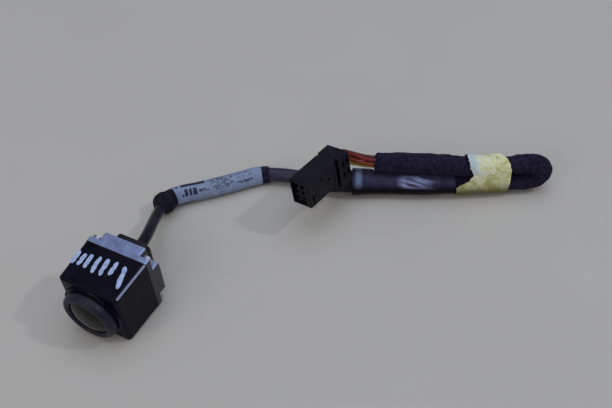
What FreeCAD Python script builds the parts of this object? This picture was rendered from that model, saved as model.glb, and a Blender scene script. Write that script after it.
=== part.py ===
"""Backup camera for a truck or trailer: a square camera head on a taped pigtail harness.

Millimetres, +Z up. The head stands on the table with its lens towards -Y, and the
harness lies behind it. The origin is the middle of the head's footprint.
"""
import FreeCAD, Part
import Sketcher
import math
import os
from FreeCAD import Placement, Rotation, Vector

doc = FreeCAD.newDocument("backup_camera")
dim = doc.addObject("Spreadsheet::Sheet", "dim")
parts = []

DIMENSIONS = {
    # head outline; the seam is the plane where the black housing meets the metal rear
    "head_width": 24.0, "head_height": 24.0, "seam_y": 5.8, "front_y": -9.8,
    "front_width": 22.8, "front_height": 23.3, "edge_round": 1.3, "lens_height": 11.8,
    "wall": 1.8, "cavity_front": -5.8, "corner_post": 3.9,
    # collar, bezel and lens barrel
    "collar_radius": 10.9, "collar_front": -10.7, "seat_radius": 9.4, "seat_y": -8.2,
    "bezel_radius": 9.8, "bezel_neck": 9.3, "bezel_back": -11.4, "bezel_side": -12.9,
    "bezel_front": -14.15, "bezel_rim": 8.0, "rim_depth": 0.65,
    "lip_radius": 7.35, "lip_y": -11.05, "cup_radius": 8.3, "barrel_radius": 7.0,
    "barrel_back": 0.4, "glass_radius": 7.6, "glass_seat": -9.9, "dome_front": -14.8,
    "dome_curve": 18.0, "dome_hollow": 7.0, "hollow_front": -13.2,
    "stage_radius": 5.2, "stop_front": -4.4, "stop_back": -4.0,
    "stop_radius": 2.2, "rear_stage": 4.3, "lens_play": 0.05,
    "ring_mid": 7.7, "ring_section": 0.27, "groove_depth": 0.55, "bore_play": 0.1,
    # circuit boards
    "board_front": 2.0, "board_thick": 1.0, "board_width": 15.8, "board_tall": 19.4,
    "rear_board_front": 6.6, "rear_board_thick": 0.8, "rear_board_width": 13.2,
    "rear_board_tall": 18.8, "board_screw_x": 5.2, "board_screw_z": 8.4,
    "board_post": 1.4, "board_screw": 0.75, "board_hole": 0.8,
    # metal rear housing, its gasket and screws
    "gasket": 0.3, "flange_back": 8.1, "rear_back": 11.5, "rear_cavity": 13.8,
    "arm": 16.5, "arm_tall": 14.2, "arm_low": 4.4,
    "rear_cavity_tall": 20.0, "rear_wall": 1.5, "case_screw": 0.95, "case_hole": 1.0,
    "case_screw_inset": 1.95, "case_head": 1.7, "dimple": 0.8, "rear_round": 0.9,
    # cable outlet
    "outlet_height": 14.6, "plate_half": 6.6, "plate_back": 14.8, "plate_corner": 2.5,
    "plate_screw_at": 4.7, "grommet_back": 16.4, "grommet_wide": 3.6, "grommet_slim": 2.7,
    "grommet_neck": 2.9, "outlet_radius": 3.0,
    # cable and what is wrapped round it
    "cable_radius": 2.0, "cable_start": 13.0, "sleeve_radius": 2.75, "sleeve_bore": 2.15,
    "boot_radius": 4.4, "boot_end": 3.4, "label_radius": 3.6, "label_bore": 2.8,
    "band_radius": 3.4, "padding_radius": 4.4, "vinyl_radius": 4.8, "vinyl_bore": 4.45,
    "felt_radius": 3.8, "felt_bore": 2.5, "tape_thick": 0.2, "tape_gap": 0.55,
    "tape_length": 21.0, "tape_spread": 7.65, "wire_radius": 0.725, "wire_ring": 1.57,
    "wire_tail": 14.6, "wire_lead": 2.2, "wire_reach": 1.2, "bundle_share": 0.92, "band_long": 2.3,
    # wire plug, in its own frame: the rear end of its top face is the origin
    "plug_x": 44.7, "plug_y": 80.7, "plug_z": 23.6, "plug_yaw": -12.0, "plug_nose": -3.0,
    "plug_lean": -12.2, "plug_width": 8.6, "plug_tall": 10.6, "plug_long": 23.0,
    "hood_back": -7.4, "cover_left": -4.7, "cover_right": 4.9, "cover_long": 6.2,
    "cover_tall": 13.4, "cover_wall": 1.0, "cover_back": 0.8, "neck_back": -2.4, "neck_tall": 12.0,
    "neck_half": 3.35, "neck_top": -1.15,
    "hood_depth": 7.6, "hood_wall": 0.8, "key_wall": 2.0, "core_gap": 0.7,
    "way_pitch_x": 2.6, "way_pitch_z": 2.4, "way_radius": 0.8, "way_top": -2.9,
    "pin_radius": 0.7, "latch_thick": 0.8, "latch_tall": 4.2, "latch_top": -5.7,
    "latch_front": -21.2, "latch_back": -9.2, "latch_pocket": 1.6, "latch_play": 0.15,
    "window_long": 1.3, "window_tall": 2.0, "seal_front": -4.9, "plug_round": 0.45,
}

# Cable route from the rear housing: over to the table, along under the plug, out to the
# fold and back on top of itself to where its wires come out.
CABLE_ROUTE = [
    (0.0, 13.0, 14.6), (0.0, 18.0, 14.6), (-2.3, 24.6, 12.5), (-5.2, 30.8, 9.7),
    (-7.8, 36.9, 7.1), (-9.9, 43.1, 5.1), (-9.5, 47.3, 4.3), (-6.3, 51.5, 3.95),
    (0.3, 57.1, 3.85), (8.2, 65.0, 3.85), (15.9, 73.5, 3.75), (24.6, 77.2, 3.3),
    (34.6, 78.4, 4.4), (41.2, 80.3, 4.8), (50.8, 84.1, 5.0), (65.6, 90.6, 5.0),
    (79.9, 96.8, 5.0), (88.6, 101.4, 4.75), (97.2, 106.3, 4.6), (105.2, 110.8, 4.5),
    (111.8, 114.4, 4.45), (113.8, 116.0, 8.3), (111.3, 115.2, 12.2), (106.2, 112.3, 12.2),
    (98.2, 107.8, 12.25), (87.0, 101.55, 12.5), (79.0, 98.0, 13.9), (66.8, 92.7, 13.95),
    (56.3, 88.3, 13.9),
]
# Where the next wrap along the cable begins.
WRAP_STARTS = {
    "boot": (-9.8, 43.7, 5.0), "label": (-8.6, 48.3, 4.2), "band": (15.9, 72.8, 3.75),
    "padding": (40.0, 79.9, 4.7), "vinyl": (49.4, 83.6, 4.95), "felt": (80.9, 97.2, 4.95),
}
# Where the wires' bundle passes on its way from the plug to the end of the felt wrap.
WIRE_PASS = (49.9, 85.9, 15.2)
# Masking tape: the near end of its lower run, its heading, and the way to the upper run.
TAPE_START = (86.33, 100.1, 4.82)
TAPE_HEADING = (18.3, 10.4, -0.25)
TAPE_ACROSS = (0.05, 0.9, 7.6)


def value(alias):
    """A driving dimension as a number."""
    return float(dim.get(alias))


def fill_sheet():
    """Write every driving dimension to the sheet, under its name."""
    for row, (alias, number) in enumerate(DIMENSIONS.items(), start=1):
        dim.set("A%d" % row, alias)
        dim.set("B%d" % row, str(number))
        dim.setAlias("B%d" % row, alias)
    doc.recompute()


def bind(item, **expressions):
    """Bind properties of an object to expressions; a double underscore stands for a dot."""
    for name, expression in expressions.items():
        item.setExpression(name.replace("__", "."), expression)
    return item


def at(item, x="0", y="0", z="0"):
    """Bind an object's place to expressions."""
    return bind(item, Placement__Base__x=x, Placement__Base__y=y, Placement__Base__z=z)


def box(label, x, y, z):
    """A box between (low, high) pairs of expressions along X, Y and Z."""
    item = doc.addObject("Part::Box", label)
    sides = ["(%s) - (%s)" % (high, low) for low, high in (x, y, z)]
    bind(item, Length=sides[0], Width=sides[1], Height=sides[2])
    return at(item, x[0], y[0], z[0])


def middle_box(label, width, y, z):
    """A box of that width, centred on X."""
    return box(label, ("-(%s)/2" % width, "(%s)/2" % width), y, z)


def rod(label, radius, y, x="0", z="dim.lens_height"):
    """A cylinder along +Y between the pair of expressions y."""
    item = doc.addObject("Part::Cylinder", label)
    bind(item, Radius=radius, Height="(%s) - (%s)" % (y[1], y[0]))
    item.Placement = Placement(Vector(), Rotation(Vector(1, 0, 0), -90))
    return at(item, x, y[0], z)


def taper(label, radii, y, z):
    """A cone along +Y between the pair of expressions y."""
    item = doc.addObject("Part::Cone", label)
    bind(item, Radius1=radii[0], Radius2=radii[1], Height="(%s) - (%s)" % (y[1], y[0]))
    item.Placement = Placement(Vector(), Rotation(Vector(1, 0, 0), -90))
    return at(item, "0", y[0], z)


def ball(label, radius, y):
    """A sphere on the lens axis."""
    item = bind(doc.addObject("Part::Sphere", label), Radius=radius)
    return at(item, "0", y, "dim.lens_height")


def fuse(label, items):
    """All the items joined into one."""
    item = doc.addObject("Part::MultiFuse", label)
    item.Shapes = items
    return item


def cut(label, base, tools):
    """The base with every tool taken away from it."""
    item = doc.addObject("Part::Cut", label)
    item.Base = base
    item.Tool = tools[0] if len(tools) == 1 else fuse(label + "_tools", tools)
    return item


def common(label, items):
    """What all the items have in common."""
    item = doc.addObject("Part::MultiCommon", label)
    item.Shapes = items
    return item


def group(label, items):
    """Identical small pieces as separate solids of one node."""
    item = doc.addObject("Part::Compound", label)
    item.Links = items
    return item


def is_lengthwise(edge):
    """Whether an edge runs along Y."""
    ends = [v.Point for v in edge.Vertexes]
    return len(ends) == 2 and abs(ends[0].y - ends[1].y) > 1.5


def is_off(plane_y):
    """A test for edges that don't lie in the plane at that y."""
    def test(edge):
        return any(abs(v.Point.y - value(plane_y)) > 0.01 for v in edge.Vertexes)
    return test


def rounded(label, base, radius, chosen):
    """Round the edges of base that the function chosen picks."""
    doc.recompute()
    item = doc.addObject("Part::Fillet", label)
    item.Base = base
    numbers = [n for n, edge in enumerate(base.Shape.Edges, start=1) if chosen(edge)]
    item.Edges = [(n, value(radius), value(radius)) for n in numbers]
    return item


def ring(label, outer, inner, y, z="dim.lens_height"):
    """A ring round the lens axis."""
    return cut(label, rod(label + "_outside", outer, y, z=z), [rod(label + "_inside", inner, y, z=z)])


def node(item, label):
    """Make an object a sub-part of the camera, under that name."""
    item.Label = label
    parts.append(item)
    return item


def solid(label, shape, place=None):
    """A sub-part whose shape is made directly."""
    item = doc.addObject("Part::Feature", label)
    item.Shape = shape
    if place:
        item.Placement = place
    return node(item, label)


def outline(body, plane, corners):
    """A closed sketch of straight lines on one of the body's planes.

    Each corner is a pair of expressions for its two coordinates in the sketch.
    """
    sketch = body.newObject("Sketcher::SketchObject", body.Name + "_outline")
    origin_plane = [f for f in body.Origin.OriginFeatures if f.Role == plane][0]
    sketch.AttachmentSupport = (origin_plane, [""])
    sketch.MapMode = "FlatFace"
    places = [Vector(evaluated(u), evaluated(v), 0) for u, v in corners]
    count = len(corners)
    for n, place in enumerate(places):
        sketch.addGeometry(Part.LineSegment(place, places[(n + 1) % count]))
    for n, (u, v) in enumerate(corners):
        join_corner(sketch, n, count)
        fix_coordinate(sketch, "DistanceX", n, u)
        fix_coordinate(sketch, "DistanceY", n, v)
    return sketch


def join_corner(sketch, n, count):
    """Join the end of the line before corner n to its start."""
    sketch.addConstraint(Sketcher.Constraint("Coincident", (n - 1) % count, 2, n, 1))


def fix_coordinate(sketch, kind, n, expression):
    """Bind one coordinate of corner n, measured from the sketch's origin."""
    number = evaluated(expression)
    index = sketch.addConstraint(Sketcher.Constraint(kind, -1, 1, n, 1, number))
    sketch.setExpression("Constraints[%d]" % index, expression)


def evaluated(expression):
    """The number that an expression over the sheet gives."""
    return float(dim.evalExpression(expression.replace("dim.", "")))


def turned(label, corners):
    """A body turned about the lens axis from (radius, y) corners."""
    body = doc.addObject("PartDesign::Body", label)
    sketch = outline(body, "XY_Plane", corners)
    turn = body.newObject("PartDesign::Revolution", label + "_turn")
    turn.Profile = (sketch, [""])
    turn.ReferenceAxis = (sketch, ["V_Axis"])
    turn.Angle = 360
    bind(body, Placement__Base__z="dim.lens_height")
    return node(body, label)


def wedge(label):
    """The black housing's outside, a little narrower and lower at the front."""
    item = doc.addObject("Part::Wedge", label)
    return bind(item, Xmin="-dim.front_width/2", Xmax="dim.front_width/2",
                X2min="-dim.head_width/2", X2max="dim.head_width/2",
                Ymin="dim.front_y", Ymax="dim.seam_y",
                Zmin="0", Z2min="0", Zmax="dim.front_height", Z2max="dim.head_height")


def four_corners(x, z, middle="dim.lens_height"):
    """The four (x, z) pairs of expressions at equal distances from a middle."""
    return [("%s(%s)" % (a, x), "(%s) %s (%s)" % (middle, b, z)) for a in ("-", "") for b in "-+"]


def case_corners():
    """Where the four case screws stand."""
    inset = "dim.head_width/2 - dim.case_screw_inset"
    return four_corners(inset, inset, "dim.head_height/2")


def board_corners():
    """Where the four board screws stand."""
    return four_corners("dim.board_screw_x", "dim.board_screw_z")


def rods(label, radius, y, corners):
    """One rod at each corner."""
    return [rod("%s_%d" % (label, n), radius, y, x, z) for n, (x, z) in enumerate(corners)]


def front_housing():
    """Black moulded front with the raised collar, the barrel's seat and the board posts."""
    shell = rounded("front_shell", wedge("front_block"), "edge_round", is_off("seam_y"))
    collar = rod("front_collar", "dim.collar_radius", ("dim.collar_front", "dim.front_y + 0.5"))
    half = "(dim.head_width/2 - dim.wall)"
    inside = ("dim.cavity_front", "dim.seam_y")
    cavity = box("front_cavity", ("-" + half, half), inside, ("dim.wall", "dim.head_height - dim.wall - 0.2"))
    hollow = cut("front_hollow", cavity, corner_posts(inside))
    seat = rod("front_seat", "dim.seat_radius", ("dim.collar_front", "dim.seat_y"))
    bore_radius = "dim.barrel_radius + dim.bore_play"
    bore = rod("front_bore", bore_radius, ("dim.seat_y", "dim.cavity_front"))
    groove = ring("front_groove", "dim.ring_mid + 0.35", "dim.ring_mid - 0.35",
                  ("dim.seat_y", "dim.seat_y + dim.groove_depth"))
    screw_holes = rods("front_screw_hole", "dim.case_hole", ("dim.seam_y - 6", "dim.seam_y"), case_corners())
    whole = fuse("front_whole", [shell, collar])
    housing = cut("front_cut", whole, [hollow, seat, bore, groove] + screw_holes)
    posts = rods("front_post", "dim.board_post", ("dim.cavity_front - 1", "dim.board_front"), board_corners())
    drill = rods("front_drill", "dim.board_hole", ("dim.cavity_front", "dim.board_front"), board_corners())
    node(cut("front_housing", fuse("front_posted", [housing] + posts), drill), "front_housing")


def corner_posts(y):
    """Square posts in the housing's corners, for the case screws."""
    half, post = "dim.head_width/2", "dim.corner_post"
    sides = [("-" + half, "-%s + %s" % (half, post)), ("%s - %s" % (half, post), half)]
    heights = [("0", post), ("dim.head_height - " + post, "dim.head_height")]
    return [box("corner_post", side, y, height) for side in sides for height in heights]


def lens_bezel():
    """Ring that clamps the front glass: straight sides, a round shoulder, a conical inside."""
    shoulder = [("dim.bezel_radius - %s" % inward, "dim.bezel_side - %s" % forward)
                for inward, forward in ((0, 0), (0.2, 0.4), (0.5, 0.75), (0.8, 1.05), (1.1, 1.2))]
    turned("lens_bezel", [
        ("dim.seat_radius - dim.lens_play", "dim.seat_y"),
        ("dim.seat_radius - dim.lens_play", "dim.collar_front"),
        ("dim.bezel_neck", "dim.collar_front"), ("dim.bezel_neck", "dim.bezel_back"),
        ("dim.bezel_radius", "dim.bezel_back"),
    ] + shoulder + [
        ("dim.bezel_rim", "dim.bezel_front"), ("dim.lip_radius", "dim.bezel_front + dim.rim_depth"),
        ("dim.lip_radius", "dim.lip_y"), ("dim.cup_radius + 0.1", "dim.lip_y"),
        ("dim.cup_radius + 0.1", "dim.seat_y"),
    ])


def lens_barrel():
    """Stepped barrel that holds the glass, with the aperture web in the middle."""
    turned("lens_barrel", [
        ("dim.cup_radius", "dim.lip_y"), ("dim.cup_radius", "dim.seat_y"),
        ("dim.barrel_radius", "dim.seat_y"), ("dim.barrel_radius", "dim.barrel_back"),
        ("dim.rear_stage", "dim.barrel_back"), ("dim.rear_stage", "dim.stop_back"),
        ("dim.stop_radius", "dim.stop_back"), ("dim.stop_radius", "dim.stop_front"),
        ("dim.stage_radius", "dim.stop_front"), ("dim.stage_radius", "dim.glass_seat"),
        ("dim.glass_radius + dim.lens_play", "dim.glass_seat"),
        ("dim.glass_radius + dim.lens_play", "dim.lip_y"),
    ])


def front_lens():
    """Domed front glass: a rim under the bezel's lip, a dome before it, hollow behind."""
    rim = rod("glass_rim", "dim.glass_radius", ("dim.lip_y", "dim.glass_seat"))
    column = rod("glass_column", "dim.lip_radius - dim.lens_play", ("dim.dome_front - 1", "dim.glass_seat"))
    bulge = ball("glass_front", "dim.dome_curve", "dim.dome_front + dim.dome_curve")
    dome = common("glass_dome", [column, bulge])
    hollow = ball("glass_hollow", "dim.dome_hollow", "dim.hollow_front + dim.dome_hollow")
    node(cut("front_lens", fuse("glass_whole", [rim, dome]), [hollow]), "front_lens")


def inner_lens(label, radius, y, front=None, rear=None, hollow=None):
    """A small element: a disc, domed where front or rear gives a curve radius.

    hollow is the radius of a curve ground into its rear face.
    """
    shapes = [rod(label + "_disc", radius, y)]
    if front:
        shapes.append(ball(label + "_front", front, "(%s) + (%s)" % (y[0], front)))
    if rear:
        shapes.append(ball(label + "_rear", rear, "(%s) - (%s)" % (y[1], rear)))
    body = common(label + "_body", shapes) if len(shapes) > 1 else shapes[0]
    if hollow:
        grind = ball(label + "_hollow", hollow, "(%s) - 0.8 + (%s)" % (y[1], hollow))
        body = cut(label + "_cut", body, [grind])
    node(body, label)


def lens_stack():
    """Everything inside the barrel behind the front glass, from front to back."""
    wide = "dim.stage_radius - dim.lens_play"
    slim = "dim.rear_stage - dim.lens_play"
    inner_lens("second_lens", wide, ("dim.glass_seat + 0.3", "dim.glass_seat + 2.3"), hollow="5.5")
    spacer_y = ("dim.glass_seat + 2.3", "dim.glass_seat + 3.0")
    node(ring("front_spacer", wide, "dim.stage_radius - 1.0", spacer_y), "front_spacer")
    inner_lens("third_lens", wide, ("dim.glass_seat + 3.0", "dim.stop_front"), front="14", rear="16")
    inner_lens("fourth_lens", slim, ("dim.stop_back", "dim.stop_back + 1.7"), rear="8")
    spacer_y = ("dim.stop_back + 1.7", "dim.stop_back + 2.3")
    node(ring("rear_spacer", slim, "dim.rear_stage - 0.9", spacer_y), "rear_spacer")
    inner_lens("fifth_lens", slim, ("dim.stop_back + 2.3", "dim.stop_back + 3.3"), front="12")
    filter_y = ("dim.stop_back + 3.3", "dim.stop_back + 3.7")
    node(rod("infrared_filter", slim, filter_y), "infrared_filter")
    retainer_y = ("dim.stop_back + 3.7", "dim.barrel_back")
    node(ring("lens_retainer", slim, "dim.rear_stage - 0.8", retainer_y), "lens_retainer")


def barrel_ring():
    """Rubber ring in the groove under the barrel's flange."""
    item = doc.addObject("Part::Torus", "barrel_ring")
    bind(item, Radius1="dim.ring_mid", Radius2="dim.ring_section")
    item.Placement = Placement(Vector(), Rotation(Vector(1, 0, 0), 90))
    at(item, "0", "dim.seat_y + dim.ring_section + 0.01", "dim.lens_height")
    node(item, "barrel_ring")


def tall_box(label, width, y, height):
    """A box centred on X and on the lens axis."""
    middle = "dim.lens_height"
    z = ("%s - (%s)/2" % (middle, height), "%s + (%s)/2" % (middle, height))
    return middle_box(label, width, y, z)


def sensor_side():
    """The sensor, its glass, the light baffle round it and the board that carries them."""
    back = "dim.board_front + dim.board_thick"
    node(tall_box("image_sensor", "7.2", ("dim.board_front - 0.9", "dim.board_front"), "5.6"), "image_sensor")
    node(tall_box("sensor_glass", "6.4", ("dim.board_front - 1.3", "dim.board_front - 0.9"), "4.8"),
         "sensor_glass")
    node(ring("light_baffle", "6.7", "4.9", ("dim.barrel_back", "dim.board_front")), "light_baffle")
    plate = tall_box("sensor_plate", "dim.board_width", ("dim.board_front", back), "dim.board_tall")
    holes = rods("sensor_hole", "dim.board_hole", ("dim.board_front", back), board_corners())
    node(cut("sensor_board", plate, holes), "sensor_board")
    node(tall_box("image_processor", "7.5", (back, back + " + 1.1"), "7.5"), "image_processor")


def rear_board():
    """The second board with its components, the link between the boards and the spacers."""
    sensor_back = "dim.board_front + dim.board_thick"
    front, back = "dim.rear_board_front", "dim.rear_board_front + dim.rear_board_thick"
    link = "(%s + %s)/2" % (sensor_back, front)
    link_z = ("dim.lens_height + 5.2", "dim.lens_height + 7.4")
    node(middle_box("link_socket", "7.0", (sensor_back, link), link_z), "link_socket")
    node(middle_box("link_plug", "6.4", (link, front), link_z), "link_plug")
    spacers = [cut("spacer_%d" % n, rod("spacer_outside", "dim.board_post", (sensor_back, front), x, z),
                   [rod("spacer_inside", "dim.board_hole", (sensor_back, front), x, z)])
               for n, (x, z) in enumerate(board_corners())]
    node(group("board_spacers", spacers), "board_spacers")
    plate = tall_box("rear_plate", "dim.rear_board_width", (front, back), "dim.rear_board_tall")
    holes = rods("rear_hole", "dim.board_hole", (front, back), board_corners())
    node(cut("rear_board", plate, holes), "rear_board")
    screws = [board_screw(n, x, z, back) for n, (x, z) in enumerate(board_corners())]
    node(group("board_screws", screws), "board_screws")
    chip_y = (back, back + " + 1.0")
    node(middle_box("video_chip", "5.0", chip_y, ("4.2", "9.2")), "video_chip")
    cavity_back = "dim.rear_back - dim.rear_wall"
    node(middle_box("thermal_pad", "4.6", (chip_y[1], cavity_back), ("4.4", "9.0")), "thermal_pad")
    blocks = [box("coil", ("2.6", "5.4"), (back, back + " + 1.5"), ("15.2", "18.0")),
              box("capacitor_low", ("3.6", "5.2"), (back, back + " + 1.2"), ("12.6", "13.8")),
              box("capacitor_high", ("-5.4", "-2.9"), (back, back + " + 1.3"), ("15.6", "17.2")),
              box("regulator", ("-5.6", "-3.6"), (back, back + " + 0.9"), ("11.2", "13.2"))]
    node(group("board_components", blocks), "board_components")


def board_screw(n, x, z, head_front):
    """A board screw with a slotted cheese head."""
    head_back = "%s + 0.9" % head_front
    head = rod("board_head_%d" % n, "1.25", (head_front, head_back), x, z)
    shank = rod("board_shank_%d" % n, "dim.board_screw", ("dim.board_front - 3", head_front), x, z)
    slot = box("board_slot_%d" % n, ("(%s) - 1.3" % x, "(%s) + 1.3" % x), ("%s - 0.4" % head_back, head_back),
               ("(%s) - 0.2" % z, "(%s) + 0.2" % z))
    return cut("board_screw_%d" % n, fuse("board_screw_blank_%d" % n, [head, shank]), [slot])


def housing_gasket():
    """Flat gasket between the housings, cut out round the boards and the screws."""
    y = ("dim.seam_y", "dim.seam_y + dim.gasket")
    sheet = middle_box("gasket_sheet", "dim.head_width - 0.5", y, ("0.25", "dim.head_height - 0.25"))
    window = middle_box("gasket_window", "dim.rear_cavity", y, ("2.0", "dim.rear_cavity_tall + 2.0"))
    holes = rods("gasket_hole", "dim.case_hole + 0.1", y, case_corners())
    node(cut("housing_gasket", sheet, [window] + holes), "housing_gasket")


def rear_housing():
    """Die-cast rear: a thin flange with a cross-shaped boss that leaves room for the screws."""
    start = "dim.seam_y + dim.gasket"
    flange = middle_box("rear_flange", "dim.head_width", (start, "dim.flange_back"), ("0", "dim.head_height"))
    upright = middle_box("rear_upright", "dim.arm", (start, "dim.rear_back"), ("0", "dim.head_height"))
    across = middle_box("rear_across", "dim.head_width", (start, "dim.rear_back"),
                        ("dim.arm_low", "dim.arm_low + dim.arm_tall"))
    cross = fuse("rear_cross", [flange, upright, across])
    blank = rounded("rear_blank", cross, "rear_round", is_lengthwise)
    cavity = middle_box("rear_cavity_box", "dim.rear_cavity", (start, "dim.rear_back - dim.rear_wall"),
                        ("2.0", "dim.rear_cavity_tall + 2.0"))
    outlet_y = ("dim.rear_back - 2", "dim.rear_back")
    outlet = rod("rear_outlet", "dim.outlet_radius", outlet_y, z="dim.outlet_height")
    holes = rods("rear_screw_hole", "dim.case_hole + 0.1", (start, "dim.flange_back"), case_corners())
    mark = bind(doc.addObject("Part::Sphere", "rear_dimple"), Radius="dim.dimple")
    at(mark, "-1.0", "dim.seam_y + 3.4", "dim.head_height + 0.35")
    threads = rods("plate_thread", "0.8", ("dim.rear_back - 1.4", "dim.rear_back"), plate_corners())
    node(cut("rear_housing", blank, [cavity, outlet, mark] + holes + threads), "rear_housing")


def plate_corners():
    """Where the cable plate's two screws stand, on one diagonal."""
    return [("-dim.plate_screw_at", "dim.outlet_height + dim.plate_screw_at"),
            ("dim.plate_screw_at", "dim.outlet_height - dim.plate_screw_at")]


def screw(label, n, x, z, shank, head, y):
    """A pan-head screw with a hexagonal socket; y is (tip, seat, top of head)."""
    blank = fuse("%s_blank_%d" % (label, n), [
        rod("%s_shank_%d" % (label, n), shank, (y[0], y[1]), x, z),
        rod("%s_head_%d" % (label, n), head, (y[1], y[2]), x, z)])
    socket = doc.addObject("Part::Prism", "%s_socket_%d" % (label, n))
    bind(socket, Circumradius="(%s)*0.5" % head, Height="0.6")
    socket.Placement = Placement(Vector(), Rotation(Vector(1, 0, 0), -90))
    at(socket, x, "(%s) - 0.6" % y[2], z)
    return cut("%s_%d" % (label, n), blank, [socket])


def fasteners():
    """Case screws in the notches of the boss, and the two screws of the cable plate."""
    y = ("dim.seam_y - 5", "dim.flange_back", "dim.flange_back + 1.3")
    screws = [screw("case_screw", n, x, z, "dim.case_screw", "dim.case_head", y)
              for n, (x, z) in enumerate(case_corners())]
    node(group("case_screws", screws), "case_screws")
    y = ("dim.rear_back - 1.3", "dim.plate_back - 1.1", "dim.plate_back")
    screws = [screw("plate_screw", n, x, z, "0.75", "1.2", y) for n, (x, z) in enumerate(plate_corners())]
    node(group("plate_screws", screws), "plate_screws")


def cable_plate():
    """Black plate on the rear that holds the cable grommet."""
    through = ("dim.rear_back", "dim.plate_back")
    height = ("dim.outlet_height - dim.plate_half", "dim.outlet_height + dim.plate_half")
    blank = middle_box("plate_blank", "2*dim.plate_half", through, height)
    whole = rounded("plate_round", blank, "plate_corner", is_lengthwise)
    outlet = rod("plate_outlet", "dim.outlet_radius", through, z="dim.outlet_height")
    holes = rods("plate_hole", "0.85", through, plate_corners())
    sinks = rods("plate_sink", "1.3", ("dim.plate_back - 1.1", "dim.plate_back"), plate_corners())
    node(cut("cable_plate", whole, [outlet] + holes + sinks), "cable_plate")


def cable_grommet():
    """Rubber grommet: a neck through the plate and a short taper outside."""
    height = "dim.outlet_height"
    neck = rod("grommet_neck_rod", "dim.grommet_neck", ("dim.rear_back - 0.6", "dim.plate_back"), z=height)
    cone = taper("grommet_cone", ("dim.grommet_wide", "dim.grommet_slim"),
                 ("dim.plate_back", "dim.grommet_back"), height)
    through = ("dim.rear_back - 0.6", "dim.grommet_back")
    hole = rod("grommet_hole", "dim.cable_radius + 0.1", through, z=height)
    node(cut("cable_grommet", fuse("grommet_blank", [neck, cone]), [hole]), "cable_grommet")


def inner_leads():
    """The cable's six conductors, soldered to the rear board."""
    y = ("dim.rear_board_front + dim.rear_board_thick", "dim.cable_start - 0.05")
    leads = []
    for n in range(6):
        angle = math.radians(60 * n)
        x, z = 1.2 * math.cos(angle), 1.2 * math.sin(angle)
        leads.append(rod("inner_lead_%d" % n, "0.35", y, str(x), "dim.outlet_height + %s" % z))
    node(group("inner_leads", leads), "inner_leads")


def route_edges(points):
    """Straight runs joined by tangent arcs; each arc is as large as its two runs allow."""
    points = [Vector(*p) for p in points]
    edges, radii, start = [], [], points[0]
    for before, corner, after in zip(points, points[1:], points[2:]):
        toward, away = (before - corner).normalize(), (after - corner).normalize()
        reach = 0.45 * min(before.distanceToPoint(corner), after.distanceToPoint(corner))
        half_turn = (math.pi - toward.getAngle(away)) / 2
        radii.append(reach / math.tan(half_turn))
        first, last = corner + toward * reach, corner + away * reach
        inward = (toward + away).normalize()
        middle = corner + inward * (radii[-1] / math.cos(half_turn) - radii[-1])
        edges.append(Part.LineSegment(start, first).toShape())
        edges.append(Part.Arc(first, middle, last).toShape())
        start = last
    edges.append(Part.LineSegment(start, points[-1]).toShape())
    return edges, radii


def stretch(edges, begin, end):
    """The part of a route between two distances along it, as a wire."""
    kept, passed = [], 0.0
    for edge in edges:
        low, high = max(begin - passed, 0.0), min(end - passed, edge.Length)
        if high - low > 1e-4:
            first, last = edge.getParameterByLength(low), edge.getParameterByLength(high)
            kept.append(edge.Curve.toShape(first, last))
        passed += edge.Length
    return Part.Wire(kept)


def pipe(wire, radius):
    """A solid round bar along a wire."""
    edge = wire.Edges[0]
    start = edge.valueAt(edge.FirstParameter)
    heading = edge.tangentAt(edge.FirstParameter)
    profile = Part.Wire(Part.makeCircle(radius, start, heading))
    bar = wire.makePipeShell([profile], True, False)
    expected = math.pi * radius ** 2 * wire.Length
    if abs(bar.Volume / expected - 1) > 0.01:
        raise RuntimeError("A bar along the route has the wrong volume")
    return bar


def sleeve(label, edges, begin, end, outer, inner):
    """A hollow wrap round the cable between two distances along its route."""
    wire = stretch(edges, begin, end)
    return solid(label, pipe(wire, outer).cut(pipe(wire, inner)))


def along(edges, place):
    """Distance along a route to the point on it nearest a place."""
    passed, best = 0.0, (1e9, 0.0)
    target = Part.Vertex(Vector(*place))
    for edge in edges:
        gap, pairs, info = edge.distToShape(target)
        parameter = edge.Curve.parameter(pairs[0][0])
        covered = 0.0
        if parameter > edge.FirstParameter:
            covered = edge.Curve.length(edge.FirstParameter, parameter)
        best = min(best, (gap, passed + covered))
        passed += edge.Length
    return best[1]


def cable_and_wraps():
    """The cable on its route, and the sleeves, label and tapes round it."""
    edges, radii = route_edges(CABLE_ROUTE)
    total = sum(edge.Length for edge in edges)
    print("cable length %.1f, arc radii" % total, ["%.1f" % r for r in radii])
    cable_end = total - value("wire_tail") - 0.2
    solid("camera_cable", pipe(stretch(edges, 0, cable_end), value("cable_radius")))
    starts = {name: along(edges, place) for name, place in WRAP_STARTS.items()}
    band_end = starts["band"] + value("band_long")
    sleeve_boot(edges, starts["boot"], starts["label"])
    sleeve("pvc_sleeve", edges, starts["label"], starts["padding"], value("sleeve_radius"), value("sleeve_bore"))
    sleeve("cable_label", edges, starts["label"], starts["band"], value("label_radius"), value("label_bore"))
    sleeve("tape_band", edges, starts["band"], band_end, value("band_radius"), value("label_bore"))
    sleeve("foam_padding", edges, starts["padding"], starts["felt"], value("padding_radius"),
           value("sleeve_bore"))
    sleeve("vinyl_wrap", edges, starts["vinyl"], starts["felt"], value("vinyl_radius"), value("vinyl_bore"))
    sleeve("felt_wrap", edges, starts["felt"], total, value("felt_radius"), value("felt_bore"))


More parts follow.
